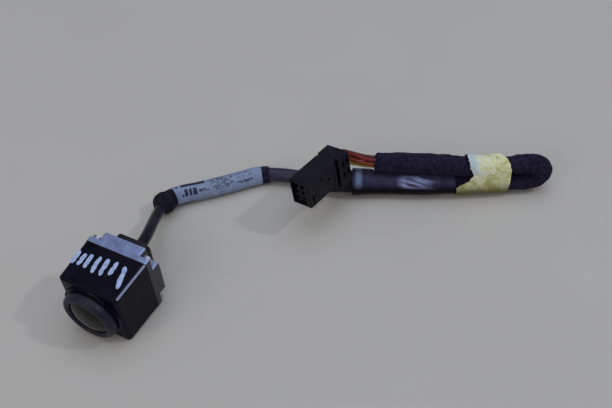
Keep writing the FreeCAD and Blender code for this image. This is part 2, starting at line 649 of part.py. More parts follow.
def sleeve_boot(edges, middle, end):
    """Round rubber moulding where the cable enters its sleeve."""
    lump = Part.makeSphere(value("boot_radius"), point_at(edges, middle))
    skirt = pipe(stretch(edges, middle, end), value("boot_end"))
    bore = pipe(stretch(edges, middle - 6, end + 3), value("sleeve_bore"))
    beyond = pipe(stretch(edges, end, end + 3), value("boot_radius") + 1)
    solid("sleeve_boot", lump.fuse(skirt).cut(bore).cut(beyond))


def point_at(edges, distance):
    """The point at that distance along a route."""
    end = stretch(edges, 0, distance).Edges[-1]
    return end.valueAt(end.LastParameter)


def masking_tape():
    """Turn of wide paper tape that holds the two runs of the harness together."""
    heading = Vector(*TAPE_HEADING).normalize()
    across = Vector(*TAPE_ACROSS)
    across = (across - heading * across.dot(heading)).normalize()
    inner_radius = value("felt_radius") + value("tape_gap")
    outer = stadium(heading, across, inner_radius + value("tape_thick"))
    inner = stadium(heading, across, inner_radius)
    solid("masking_tape", outer.cut(inner))


def stadium(heading, across, radius):
    """A bar with a flat-sided round section, round the two runs under the tape."""
    start = Vector(*TAPE_START)
    far = start + across * value("tape_spread")
    side = heading.cross(across).normalize() * radius
    edges = [Part.LineSegment(start - side, far - side).toShape(),
             Part.Arc(far - side, far + across * radius, far + side).toShape(),
             Part.LineSegment(far + side, start + side).toShape(),
             Part.Arc(start + side, start - across * radius, start - side).toShape()]
    return Part.Face(Part.Wire(edges)).extrude(heading * value("tape_length"))


def plug_place():
    """Where the plug lies: turned, nose and lean, about the rear end of its top face."""
    turn = Rotation(Vector(0, 0, 1), value("plug_yaw"))
    nose = Rotation(Vector(1, 0, 0), value("plug_nose"))
    lean = Rotation(Vector(0, 1, 0), value("plug_lean"))
    return Placement(Vector(value("plug_x"), value("plug_y"), value("plug_z")), turn * nose * lean)


def on_plug(item, label):
    """Make a boolean built in the plug's frame a sub-part where the plug lies."""
    item.Placement = plug_place()
    at(item, "dim.plug_x", "dim.plug_y", "dim.plug_z")
    return node(item, label)


def ways():
    """The plug's six terminal ways: (x, z) pairs of expressions, right column first."""
    middle = "(dim.hood_wall - dim.key_wall)/2"
    columns = ["%s %s dim.way_pitch_x/2" % (middle, sign) for sign in "+-"]
    return [(x, "dim.way_top - %d*dim.way_pitch_z" % row) for x in columns for row in range(3)]


def plug_core_box(label, grow, y):
    """A box round the plug's core, larger by the expression grow on every side."""
    x = ("-dim.plug_width/2 + dim.hood_wall + dim.core_gap - (%s)" % grow,
         "dim.plug_width/2 - dim.key_wall - dim.core_gap + (%s)" % grow)
    z = ("-dim.plug_tall + dim.hood_wall + dim.core_gap - (%s)" % grow,
         "-dim.hood_wall - dim.core_gap + (%s)" % grow)
    return box(label, x, y, z)


def ways_box(label, x, y, margin):
    """A box round all six ways in height, with a margin above and below their centres."""
    low = "dim.way_top - 2*dim.way_pitch_z - %s" % margin
    return box(label, x, y, (low, "dim.way_top + %s" % margin))


def plug_housing():
    """Wire plug: a hood round a core of six terminal ways, and a neck for the cover."""
    front = "-dim.plug_long"
    hood = rounded("hood_round", middle_box("hood", "dim.plug_width", (front, "dim.hood_back"),
                                            ("-dim.plug_tall", "0")), "plug_round", is_off("hood_back"))
    tongue = middle_box("tongue", "dim.plug_width - 1.2",
                        ("dim.hood_back - 1", "-dim.cover_long - 0.05"), ("dim.neck_top - 0.2", "0"))
    neck = box("neck", ("-dim.neck_half", "dim.neck_half"), ("dim.hood_back - 1", "dim.neck_back"),
               ("-dim.neck_tall", "dim.neck_top"))
    hollow_y = (front, front + " + dim.hood_depth")
    moat = cut("moat", plug_core_box("moat_outside", "dim.core_gap", hollow_y),
               [plug_core_box("moat_inside", "0", (front + " + 0.8", hollow_y[1]))])
    holes = rods("way", "dim.way_radius", (front, "dim.neck_back"), ways())
    seal = ways_box("seal_pocket", ("-dim.neck_half + 0.35", "dim.neck_half - 0.6"),
                    ("dim.seal_front", "dim.neck_back"), "1.2")
    pocket = box("latch_pocket", ("dim.plug_width/2 - dim.latch_pocket", "dim.plug_width/2"),
                 ("dim.latch_front - 0.3", "dim.latch_back + 0.45"),
                 ("dim.latch_top - dim.latch_tall - dim.latch_play", "dim.latch_top + dim.latch_play"))
    skin = ("dim.plug_width/2 - 0.7", "dim.plug_width/2")
    marks = [box("side_hole", skin, (y, y + " + 0.9"), (z, z + " + 0.9"))
             for y, z in (("-16.0", "-2.8"), ("-12.15", "-5.4"))]
    on_plug(cut("plug_cut", fuse("plug_whole", [hood, tongue, neck]), [moat, seal, pocket] + holes + marks),
            "plug_housing")


def plug_cover():
    """Sliding rear cover that locks the terminals, with four windows in each side."""
    x, y = ("dim.cover_left", "dim.cover_right"), ("-dim.cover_long", "0")
    block = box("cover_block", x, y, ("-dim.cover_tall", "0"))
    outside = rounded("cover_outside", block, "plug_round", lambda edge: True)
    inside = box("cover_inside", ("dim.cover_left + dim.cover_wall", "dim.cover_right - dim.cover_wall"),
                 ("-dim.cover_long", "-dim.cover_back"),
                 ("-dim.cover_tall + dim.cover_wall", "-dim.cover_wall"))
    opening = ways_box("cover_opening", ("-3.05", "1.85"), ("-dim.cover_back", "0"), "1.1")
    windows = [box("cover_window", x, (y0, y0 + " + dim.window_long"), (z0, z0 + " + dim.window_tall"))
               for y0 in ("-2.05", "-4.65") for z0 in ("-9.1", "-4.5")]
    on_plug(cut("cover_cut", outside, [inside, opening] + windows), "plug_cover")


def plug_latch():
    """Springy latch arm along the plug's right side, hinged at its rounded rear end."""
    x = ("dim.plug_width/2 - dim.latch_thick", "dim.plug_width/2")
    z = ("dim.latch_top - dim.latch_tall", "dim.latch_top")
    arm = box("latch_arm", x, ("dim.latch_front", "dim.latch_back"), z)
    root = doc.addObject("Part::Cylinder", "latch_root")
    bind(root, Radius="dim.latch_thick/2", Height="dim.latch_tall")
    at(root, "dim.plug_width/2 - dim.latch_thick/2", "dim.latch_back", z[0])
    catch = box("latch_catch", (x[0], "%s + 0.35" % x[1]), ("dim.latch_front + 0.4", "dim.latch_front + 1.5"),
                ("%s + 0.8" % z[0], "%s - 0.8" % z[1]))
    on_plug(fuse("latch_whole", [arm, root, catch]), "plug_latch")


def plug_insides():
    """Rubber wire seal in the neck and the six crimped terminals."""
    seal = ways_box("seal_block", ("-dim.neck_half + 0.4", "dim.neck_half - 0.65"),
                    ("dim.seal_front", "dim.neck_back"), "1.15")
    holes = rods("seal_hole", "dim.way_radius", ("dim.seal_front", "dim.neck_back"), ways())
    on_plug(cut("seal_cut", seal, holes), "wire_seal")
    terminals = []
    mouth = "-dim.plug_long + 2.2"
    for n, (x, z) in enumerate(ways()):
        barrel = rod("terminal_barrel_%d" % n, "dim.pin_radius", (mouth, "dim.neck_back"), x, z)
        socket = rod("terminal_socket_%d" % n, "0.35", (mouth, mouth + " + 5"), x, z)
        terminals.append(cut("terminal_%d" % n, barrel, [socket]))
    on_plug(group("terminal_group", terminals), "plug_terminals")


def wire_ring_places(inward):
    """Offsets of the six wires from the middle of the felt wrap, right column first."""
    side = inward.cross(Vector(0, 0, 1)).normalize()
    places = []
    for column in (1, -1):
        for angle in (60, 0, -60):
            turn = math.radians(angle)
            spoke = side * column * math.cos(turn) + Vector(0, 0, math.sin(turn))
            places.append(spoke * value("wire_ring"))
    return places


def wires():
    """Six coloured wires from the plug's rear to the end of the cable."""
    names = ["wire_red", "wire_orange", "wire_yellow", "wire_brown", "wire_green", "wire_black"]
    mouth = Vector(*CABLE_ROUTE[-1])
    inward = (Vector(*CABLE_ROUTE[-2]) - mouth).normalize()
    place = plug_place()
    middle = Vector((value("hood_wall") - value("key_wall")) / 2, 0, value("way_top") - value("way_pitch_z"))
    for name, (x, z), offset in zip(names, ways(), wire_ring_places(inward)):
        way = Vector(evaluated(x), 0, evaluated(z))
        grid = place.Rotation.multVec(way - middle)
        bundled = grid * value("bundle_share") + offset * (1 - value("bundle_share"))
        route = [place.multVec(way + Vector(0, value("neck_back"), 0)),
                 place.multVec(way + Vector(0, value("wire_lead"), 0)),
                 Vector(*WIRE_PASS) + bundled,
                 mouth - inward * value("wire_reach") + offset,
                 mouth + inward * value("wire_tail") + offset]
        edges, radii = route_edges([tuple(p) for p in route])
        print(name, "length %.1f" % sum(e.Length for e in edges), ["%.1f" % r for r in radii])
        solid(name, pipe(Part.Wire(edges), value("wire_radius")))


def check_and_write():
    """Check every object and every sub-part, then write one file for each."""
    doc.recompute()
    failed = [o.Label for o in doc.Objects if {"Invalid", "Error"} & set(o.State)]
    if failed:
        raise RuntimeError("Failed objects: %s" % failed)
    os.makedirs("parts", exist_ok=True)
    for item in parts:
        shape = item.Shape
        if shape.isNull() or not shape.isValid() or not shape.Solids:
            raise RuntimeError("Bad shape: " + item.Label)
        shape.exportStep("parts/%s.step" % item.Label)


fill_sheet()
front_housing()
lens_bezel()
lens_barrel()
front_lens()
lens_stack()
barrel_ring()
sensor_side()
rear_board()
housing_gasket()
rear_housing()
fasteners()
cable_plate()
cable_grommet()
inner_leads()
cable_and_wraps()
masking_tape()
plug_housing()
plug_cover()
plug_latch()
plug_insides()
wires()
check_and_write()
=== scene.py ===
"""Looks of the backup camera and its taped harness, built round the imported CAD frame.

Blender units are metres. Sizes written as MM * n are in millimetres.
"""
import math

import bpy
import numpy as np
from mathutils import Matrix, Vector, noise


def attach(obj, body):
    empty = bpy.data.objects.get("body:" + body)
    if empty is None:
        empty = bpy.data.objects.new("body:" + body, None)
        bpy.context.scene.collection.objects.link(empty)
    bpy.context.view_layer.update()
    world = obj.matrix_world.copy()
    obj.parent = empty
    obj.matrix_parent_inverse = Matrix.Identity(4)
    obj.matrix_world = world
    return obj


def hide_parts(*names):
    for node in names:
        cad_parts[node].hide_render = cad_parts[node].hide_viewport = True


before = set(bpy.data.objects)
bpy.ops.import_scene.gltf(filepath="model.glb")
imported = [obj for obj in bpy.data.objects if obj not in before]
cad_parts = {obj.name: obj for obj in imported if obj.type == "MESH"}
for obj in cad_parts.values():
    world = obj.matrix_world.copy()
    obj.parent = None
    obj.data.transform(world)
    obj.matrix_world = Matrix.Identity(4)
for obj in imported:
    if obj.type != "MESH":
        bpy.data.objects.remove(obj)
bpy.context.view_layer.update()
bpy.context.scene.view_settings.view_transform = "Standard"

MM = 0.001

# ---------------------------------------------------------------- camera and cords

CAMERA_TARGET, CAMERA_DISTANCE = Vector((0.03665, 0.06957, 0)), 0.2901
CAMERA_AZIMUTH, CAMERA_ELEVATION, CAMERA_ROLL = math.radians(28.60), math.radians(48.54), math.radians(-2.61)

# Control points of the lead, from inside the rear housing to 15 mm inside the felt wrap.
CABLE_ROUTE = [
    (0.0, 0.0130, 0.0146), (0.0, 0.0180, 0.0146), (-0.0023, 0.0246, 0.0125), (-0.0052, 0.0308, 0.0097),
    (-0.0078, 0.0369, 0.0071), (-0.0099, 0.0431, 0.0051), (-0.0095, 0.0473, 0.0043),
    (-0.0063, 0.0515, 0.00395), (0.0003, 0.0571, 0.00385), (0.0082, 0.0650, 0.00385),
    (0.0159, 0.0735, 0.00375), (0.0246, 0.0772, 0.0033), (0.0346, 0.0784, 0.0044),
    (0.0412, 0.0803, 0.0048), (0.0508, 0.0841, 0.0050), (0.0656, 0.0906, 0.0050),
    (0.0799, 0.0968, 0.0050), (0.0886, 0.1014, 0.00475), (0.0972, 0.1063, 0.0046),
    (0.1052, 0.1108, 0.0045), (0.1118, 0.1144, 0.00445), (0.1138, 0.1160, 0.0083),
    (0.1113, 0.1152, 0.0122), (0.1062, 0.1123, 0.0122), (0.0982, 0.1078, 0.01225),
    (0.0870, 0.10155, 0.0125), (0.0790, 0.0980, 0.0139), (0.0699, 0.09405, 0.01394),
]
# The felt wrap's mouth, on the same line.
FELT_END = (0.0563, 0.0883, 0.0139)
# Where the bundle of wires passes on its way to the plug.
WIRE_PASS = (0.0499, 0.0859, 0.0152)
LEAD_RADIUS = 2.0 * MM


def make_camera():
    """The camera looks down on the head's front from the right, a little tilted."""
    level_share = math.cos(CAMERA_ELEVATION)
    back = Vector((math.sin(CAMERA_AZIMUTH) * level_share, -math.cos(CAMERA_AZIMUTH) * level_share,
                   math.sin(CAMERA_ELEVATION)))
    level = Vector((math.cos(CAMERA_AZIMUTH), math.sin(CAMERA_AZIMUTH), 0))
    above = back.cross(level)
    right = level * math.cos(CAMERA_ROLL) + above * math.sin(CAMERA_ROLL)
    up = above * math.cos(CAMERA_ROLL) - level * math.sin(CAMERA_ROLL)
    data = bpy.data.cameras.new("camera")
    data.lens, data.sensor_width = 44.67, 36.0
    data.clip_start, data.clip_end = 0.01, 20.0
    eye = bpy.data.objects.new("camera", data)
    bpy.context.scene.collection.objects.link(eye)
    turn = Matrix((right, up, back)).transposed().to_4x4()
    eye.matrix_world = Matrix.Translation(CAMERA_TARGET + back * CAMERA_DISTANCE) @ turn
    bpy.context.scene.camera = eye


def spline_object(name, points, radius=0.0):
    """A smooth curve with the points as control points, thick if a radius is given."""
    curve = bpy.data.curves.new(name, "CURVE")
    curve.dimensions = "3D"
    curve.resolution_u = 16
    curve.bevel_depth, curve.bevel_resolution = radius, 6
    curve.use_fill_caps = radius > 0
    spline = curve.splines.new("NURBS")
    spline.points.add(len(points) - 1)
    for control, place in zip(spline.points, points):
        control.co = (*place, 1.0)
    spline.order_u = 3
    spline.use_endpoint_u = True
    made = bpy.data.objects.new(name, curve)
    bpy.context.scene.collection.objects.link(made)
    return made


class Line:
    """The smooth line of a route, with places and directions at distances along it."""

    def __init__(self, points):
        reader = spline_object("route_reader", points)
        bpy.context.view_layer.update()
        mesh = bpy.data.meshes.new_from_object(reader)
        self.points = np.array([v.co for v in mesh.vertices])
        curve = reader.data
        bpy.data.objects.remove(reader)
        bpy.data.curves.remove(curve)
        bpy.data.meshes.remove(mesh)
        steps = np.diff(self.points, axis=0)
        lengths = np.linalg.norm(steps, axis=1)
        self.passed = np.concatenate([[0.0], np.cumsum(lengths)])
        self.length = float(self.passed[-1])
        headings = np.vstack([steps[:1], steps]) / np.append(lengths[0], lengths)[:, None]
        self.sides = self.level_sides(headings)

    @staticmethod
    def level_sides(headings):
        """Level vectors across the line, carried along it so that they never flip over."""
        side = np.cross(headings[0], (0, 0, 1))
        sides = []
        for heading in headings:
            side = side * (1, 1, 0)
            side = side - heading * np.dot(side, heading)
            side = side / np.linalg.norm(side)
            sides.append(side)
        return np.array(sides)

    def place(self, s):
        return np.stack([np.interp(s, self.passed, self.points[:, k]) for k in range(3)], -1)

    def frame(self, s, reach=0.4 * MM):
        """Places, sideways and upward unit vectors; turn 0 of a wrap is sideways."""
        heading = self.place(s + reach) - self.place(s - reach)
        heading /= np.linalg.norm(heading, axis=-1, keepdims=True)
        side = np.stack([np.interp(s, self.passed, self.sides[:, k]) for k in range(3)], -1)
        side -= heading * np.sum(side * heading, axis=-1, keepdims=True)
        side /= np.linalg.norm(side, axis=-1, keepdims=True)
        up = np.cross(side, heading)
        up /= np.linalg.norm(up, axis=-1, keepdims=True)
        return self.place(s), side, up

    def nearest(self, place):
        return float(self.passed[np.linalg.norm(self.points - np.array(place), axis=1).argmin()])


def make_cable():
    """The camera's lead, on its whole route."""
    cable = spline_object("camera_lead", CABLE_ROUTE, LEAD_RADIUS)
    cable.data.materials.append(cable_jacket())
    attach(cable, "camera")
    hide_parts("camera_cable")
    return cable


PLUG_ORIGIN = Vector((0.0447, 0.0807, 0.0236))
PLUG_TURN = (Matrix.Rotation(math.radians(-12.0), 3, "Z") @ Matrix.Rotation(math.radians(-3.0), 3, "X")
             @ Matrix.Rotation(math.radians(-12.2), 3, "Y"))
WAY_COLUMNS = (0.7 * MM, -1.9 * MM)
WAY_ROWS = (-2.9 * MM, -5.3 * MM, -7.7 * MM)
WIRE_RADIUS = 0.725 * MM
# Radius of the ring of wires inside the felt, how far it goes in, and how far it keeps on outside.
WIRE_RING, WIRE_HIDDEN, WIRE_BARE = 1.57 * MM, 14.6 * MM, 1.2 * MM
# Where a wire lines up with its way and where it ends, along the plug from its origin.
WAY_ENTRY, WAY_END = 2.2 * MM, -2.4 * MM
# How far the bundle has spread, on its way, from the ring to the plug's grid of ways.
BUNDLE_SHARE = 0.55


def wire_route(column, row):
    """Control points of one wire, from inside the felt wrap to its way in the plug."""
    near, end = Vector(CABLE_ROUTE[-1]), Vector(FELT_END)
    inward = (near - end).normalized()
    side = inward.cross(Vector((0, 0, 1))).normalized()
    turn = math.radians(60 - 60 * row)
    spoke = side * (1 - 2 * column) * math.cos(turn) + Vector((0, 0, math.sin(turn)))
    offset = spoke * WIRE_RING
    x, z = WAY_COLUMNS[column], WAY_ROWS[row]
    middle = Vector((sum(WAY_COLUMNS) / 2, 0, WAY_ROWS[1]))
    grid = PLUG_TURN @ (Vector((x, 0, z)) - middle)
    return [end + inward * WIRE_HIDDEN + offset, end - inward * WIRE_BARE + offset,
            Vector(WIRE_PASS) + grid * BUNDLE_SHARE + offset * (1 - BUNDLE_SHARE),
            PLUG_ORIGIN + PLUG_TURN @ Vector((x, WAY_ENTRY, z)),
            PLUG_ORIGIN + PLUG_TURN @ Vector((x, WAY_END, z))]


WIRES = [("wire_red", (0.25, 0.007, 0.006)), ("wire_orange", (0.36, 0.045, 0.007)),
         ("wire_yellow", (0.48, 0.28, 0.02)), ("wire_brown", (0.12, 0.006, 0.006)),
         ("wire_green", (0.32, 0.32, 0.04)), ("wire_black", (0.012, 0.012, 0.014))]


def make_wires():
    """Six coloured wires between the felt wrap and the plug; each ends in its terminal."""
    for number, (name, colour) in enumerate(WIRES):
        route = wire_route(number // 3, number % 3)
        wire = spline_object(name + "_insulation", route, WIRE_RADIUS)
        wire.data.materials.append(wire_insulation(name, colour))
        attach(wire, "camera")
        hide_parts(name)
        length = Line(route).length


# ---------------------------------------------------------------- procedural finishes


class Finish:
    """A procedural material. Its coordinates are millimetres on the object."""

    def __init__(self, name, **sockets):
        self.material = bpy.data.materials.new(name)
        self.material.use_nodes = True
        self.nodes = self.material.node_tree.nodes
        self.links = self.material.node_tree.links
        self.shader = self.nodes["Principled BSDF"]
        for socket, value in sockets.items():
            self.shader.inputs[socket.replace("_", " ")].default_value = value
        self.millimetres = self.scaled(1000.0)
        self.normal = None

    def add(self, kind, **settings):
        made = self.nodes.new("ShaderNode" + kind)
        for name, value in settings.items():
            setattr(made, name, value)
        return made

    def scaled(self, scale):
        """Object coordinates times a number, or times one for each axis."""
        mapping = self.add("Mapping")
        mapping.inputs["Scale"].default_value = (scale,) * 3 if isinstance(scale, float) else scale
        self.links.new(self.add("TexCoord").outputs["Object"], mapping.inputs["Vector"])
        return mapping.outputs[0]

    def noise(self, size, detail=3.0, rough=0.55, at=None, warp=0.0):
        """Noise whose features are about that many millimetres across."""
        made = self.add("TexNoise")
        made.inputs["Scale"].default_value = 1.0 / size
        made.inputs["Detail"].default_value = detail
        made.inputs["Roughness"].default_value = rough
        made.inputs["Distortion"].default_value = warp
        self.links.new(at or self.millimetres, made.inputs["Vector"])
        return made.outputs[0]

    def math(self, operation, a, b=0.0, c=0.0):
        made = self.add("Math", operation=operation)
        for socket, value in zip(made.inputs, (a, b, c)):
            if isinstance(value, (int, float)):
                socket.default_value = value
            else:
                self.links.new(value, socket)
        return made.outputs[0]

    def ranged(self, value, low, high, to_low=0.0, to_high=1.0):
        made = self.add("MapRange")
        self.links.new(value, made.inputs["Value"])
        limits = {"From Min": low, "From Max": high, "To Min": to_low, "To Max": to_high}
        for name, number in limits.items():
            made.inputs[name].default_value = number
        return made.outputs[0]

    def band(self, value, start, full, fade, stop):
        """1 between full and fade, falling to 0 at start and stop."""
        rising, falling = self.ranged(value, start, full), self.ranged(value, fade, stop, 1.0, 0.0)
        return self.math("MULTIPLY", rising, falling)

    def wrap_map(self):
        """Distance along a wrap in millimetres, and share of a turn round it."""
        split = self.add("SeparateXYZ")
        self.links.new(self.add("UVMap", uv_map="wrap").outputs[0], split.inputs[0])
        return split.outputs[0], split.outputs[1]

    def combined(self, x, y):
        made = self.add("CombineXYZ")
        self.links.new(x, made.inputs[0])
        self.links.new(y, made.inputs[1])
        return made.outputs[0]

    def ramp(self, factor, *stops):
        """Colours between (position, colour) stops."""
        made = self.add("ValToRGB")
        elements = made.color_ramp.elements
        while len(elements) < len(stops):
            elements.new(0.5)
        for element, (position, colour) in zip(elements, stops):
            element.position, element.color = position, (*colour, 1.0)
        self.links.new(factor, made.inputs[0])
        return made.outputs[0]

    def mixed(self, factor, first, second, blend="MIX"):
        """Two colours mixed; either may be a colour or a socket."""
        made = self.add("Mix", data_type="RGBA", blend_type=blend)
        for index, value in ((0, factor), (6, first), (7, second)):
            if isinstance(value, (int, float)):
                made.inputs[index].default_value = value
            elif isinstance(value, tuple):
                made.inputs[index].default_value = (*value, 1.0)
            else:
                self.links.new(value, made.inputs[index])
        return made.outputs[2]

    def colour(self, socket):
        self.links.new(socket, self.shader.inputs["Base Color"])

    def over(self, factor, colour):
        """Mix a colour over the base colour given before."""
        below = self.shader.inputs["Base Color"].links[0].from_socket
        self.colour(self.mixed(factor, below, colour))

    def facing(self, heading):
        """How far the surface faces that way, from -1 to 1."""
        made = self.add("VectorMath", operation="DOT_PRODUCT")
        made.inputs[1].default_value = heading
        self.links.new(self.add("TexCoord").outputs["Normal"], made.inputs[0])
        return made.outputs["Value"]

    def rough(self, value, low, high):
        """Roughness between low and high, as the value goes from 0.3 to 0.7."""
        self.links.new(self.ranged(value, 0.3, 0.7, low, high), self.shader.inputs["Roughness"])

    def bump(self, height, depth):
        """Relief of that depth in millimetres, over any relief given before."""
        made = self.add("Bump")
        made.inputs["Distance"].default_value = depth * MM
        made.inputs["Strength"].default_value = 1.0
        self.links.new(height, made.inputs["Height"])
        if self.normal:
            self.links.new(self.normal, made.inputs["Normal"])
        self.normal = made.outputs[0]
        self.links.new(self.normal, self.shader.inputs["Normal"])


def moulded(name, dark, light, rough=(0.42, 0.6), grain=0.25, relief=0.012, blotch=5.0, **sockets):
    """Moulded plastic or rubber: two tones in blotches, fine grain and uneven gloss."""
    finish = Finish(name, **sockets)
    fine = finish.noise(grain, 2.0)
    patches = finish.noise(blotch, 4.0, 0.6)
    both = finish.math("MULTIPLY_ADD", fine, 0.35, finish.math("MULTIPLY", patches, 0.65))
    finish.colour(finish.ramp(both, (0.38, dark), (0.62, light)))
    finish.rough(finish.noise(blotch * 0.5, 3.0), *rough)
    finish.bump(fine, relief)
    return finish


def cable_jacket():
    """Satin black jacket, with a painted highlight along the side that faces up and to the front."""
    finish = moulded("cable_jacket", (0.005, 0.005, 0.010), (0.016, 0.015, 0.030), (0.24, 0.34), 0.4,
                     0.01, 3.0, Specular_IOR_Level=0.25)
    finish.bump(finish.noise(2.2, 2.0), 0.04)
    # Painted highlight: a paler tone on the side that faces up and to the front.
    upward = finish.facing((0.0, -0.45, 0.89))
    finish.over(finish.ranged(upward, 0.80, 0.97, 0.0, 0.8), (0.060, 0.062, 0.105))
    return finish.material


def wire_insulation(name, colour):
    deep = tuple(c * 0.55 for c in colour)
    finish = moulded(name + "_skin", deep, colour, (0.28, 0.42), 0.5, 0.006, 2.0)
    return finish.material


make_camera()
cable_line = Line(CABLE_ROUTE)
felt_line = Line(CABLE_ROUTE + [FELT_END])
lead = make_cable()
make_wires()

# ---------------------------------------------------------------- pieces round the cable


def wavering(places, size, seed, octaves=3):
    """Smooth noise between about -1 and 1 at places in millimetres, with features that large."""
    shift = Vector((seed * 17.3, seed * 5.1, seed * 9.7))
    flat = places.reshape(-1, 3) / size
    values = [noise.fractal(Vector(p) + shift, 0.7, 2.1, octaves) for p in flat]
    return np.array(values).reshape(places.shape[:-1])


def skin(name, rows, distances, finish, sharp=40):
    """A closed mesh of quads between rows of places. Its map holds (distance, share of a turn)."""
    count, across = rows.shape[:2]
    vertices = rows.reshape(-1, 3)
    faces, corners = [], []
    for below in range(count):
        above = (below + 1) % count
        for a in range(across):
            b = (a + 1) % across
            faces.append((below * across + a, below * across + b, above * across + b, above * across + a))
            left, right = a / across, (a + 1) / across
            corners += [(distances[below], left), (distances[below], right),
                        (distances[above], right), (distances[above], left)]
    mesh = bpy.data.meshes.new(name)
    mesh.from_pydata(vertices.tolist(), [], faces)
    layer = mesh.uv_layers.new(name="wrap")
    layer.data.foreach_set("uv", np.array(corners, np.float32).ravel())
    mesh.shade_smooth()
    mesh.set_sharp_from_angle(angle=math.radians(sharp))
    mesh.materials.append(finish)
    made = bpy.data.objects.new(name, mesh)
    bpy.context.scene.collection.objects.link(made)
    return made


def wrap(name, line, begin, end, outer, inner, finish, steps=160, sides=64, soft=0.3 * MM):
    """A hollow sleeve along a line. outer gives radii for arrays of distance and turn."""
    lip = soft * (1 - np.cos(np.linspace(0, np.pi / 2, 5)))
    run = np.linspace(begin + soft, end - soft, steps)
    along = np.concatenate([begin + lip[:-1], run, end - lip[-2::-1]])
    turns = np.arange(sides) / sides
    distance, turn = np.meshgrid(along, turns, indexing="ij")
    radius = outer(distance, turn)
    depth = np.clip(1 - np.minimum(distance - begin, end - distance) / soft, 0, 1)
    radius = radius - soft * (1 - np.sqrt(1 - depth ** 2))
    bore = along[::-1][::6]
    bore = np.concatenate([[end], bore[1:-1], [begin]])
    all_distances = np.concatenate([along, bore])
    all_radii = np.concatenate([radius, np.full((len(bore), sides), inner)])
    place, side, up = line.frame(all_distances)
    angle = turns * 2 * np.pi
    sideways, upwards = np.cos(angle)[None, :, None], np.sin(angle)[None, :, None]
    spokes = side[:, None] * sideways + up[:, None] * upwards
    rows = place[:, None] + spokes * all_radii[..., None]
    return skin(name, rows, (all_distances - begin) / MM, finish)


def round_places(distance, turn, radius):
    """Points in millimetres on an unrolled wrap, so that noise on it has no seam."""
    angle = turn * 2 * np.pi
    return np.stack([distance / MM, radius * np.cos(angle), radius * np.sin(angle)], -1)


def on_cable(piece, *nodes):
    """The piece goes with the camera and stands for those CAD solids."""
    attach(piece, "camera")
    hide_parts(*nodes)
    return piece


# Places on the route where pieces start and end.
BOOT_MIDDLE = (-0.0098, 0.0437, 0.0050)
LABEL_START, LABEL_END = (-0.0086, 0.0483, 0.0042), (0.0159, 0.0728, 0.00375)
PADDING_START = (0.0400, 0.0799, 0.0047)
VINYL_START, VINYL_END = (0.0494, 0.0836, 0.00495), (0.0845, 0.0992, 0.00485)
LOWER_TAPED, UPPER_TAPED = CABLE_ROUTE[18], CABLE_ROUTE[24]

# Outer radii, and the bore of each piece after it, in millimetres.
FELT_RADIUS, FELT_BORE = 3.62, 2.45
VINYL_RADIUS, VINYL_BORE = 4.62, 3.9
FOAM_RADIUS, FOAM_BORE = 3.7, 2.15
SLEEVE_RADIUS, SLEEVE_BORE = 2.72, 2.1
LABEL_RADIUS, BAND_RADIUS, LABEL_BORE = 3.50, 3.30, 2.8
BOOT_RADIUS, BOOT_REACH, BOOT_BORE = 4.25, 4.5, 2.05
# How far tape advances in one turn, and how much each overlap adds, in millimetres.
FELT_PITCH, VINYL_PITCH, TAPE_STEP = 9.0, 10.5, 0.16


def felt_finish():
    """Fleece tape: short matted fibres, darker between them, with a faint violet cast."""
    finish = Finish("felt_fleece", Sheen_Weight=0.06, Sheen_Roughness=0.6, Specular_IOR_Level=0.05)
    finish.shader.inputs["Sheen Tint"].default_value = (0.30, 0.26, 0.48, 1)
    fibres = finish.noise(0.28, 5.0, 0.75, warp=1.6)
    tufts = finish.noise(1.6, 3.0, 0.6)
    both = finish.math("MULTIPLY_ADD", fibres, 0.6, finish.math("MULTIPLY", tufts, 0.4))
    finish.colour(finish.ramp(both, (0.36, (0.008, 0.006, 0.014)), (0.52, (0.024, 0.019, 0.044)),
                              (0.68, (0.070, 0.060, 0.115))))
    finish.rough(fibres, 0.85, 1.0)
    finish.bump(tufts, 0.35)
    finish.bump(fibres, 0.18)
    return finish.material


def make_felt():
    """Felt wrap over the fold and both runs, with overlap steps and a ragged mouth."""
    begin, end = felt_line.nearest(VINYL_END), felt_line.length
    lower_middle, upper_middle = felt_line.nearest(LOWER_TAPED), felt_line.nearest(UPPER_TAPED)
    mouth_length, torn_radius = 3 * MM, 2.6

    def radius(distance, turn):
        places = round_places(distance, turn, 3.8)
        winding = ((distance - begin) / (FELT_PITCH * MM) + turn) % 1.0
        step = TAPE_STEP * np.clip(winding / 0.9, 0, 1)
        lumps = 0.20 * wavering(places, 5.0, 1) + 0.12 * wavering(places, 1.3, 2)
        mouth = np.clip((distance - end + mouth_length) / mouth_length, 0, 1)
        ragged = 0.6 * mouth * wavering(places, 1.0, 3) - 0.5 * mouth ** 2
        squeezed = 0.35 * np.exp(-((distance - lower_middle) / (8.0 * MM)) ** 4)
        squeezed = squeezed + 0.55 * np.exp(-((distance - upper_middle) / (7.0 * MM)) ** 4)
        torn = end - MM * (1.0 + 1.1 * wavering(round_places(0 * distance, turn, 3.6), 1.5, 11))
        full = FELT_RADIUS + step + lumps + ragged - squeezed
        return MM * np.where(distance > torn, torn_radius, full)

    felt = wrap("felt_tape", felt_line, begin, end, radius, FELT_BORE * MM, felt_finish(), 420, 72, 0.7 * MM)
    return on_cable(felt, "felt_wrap")


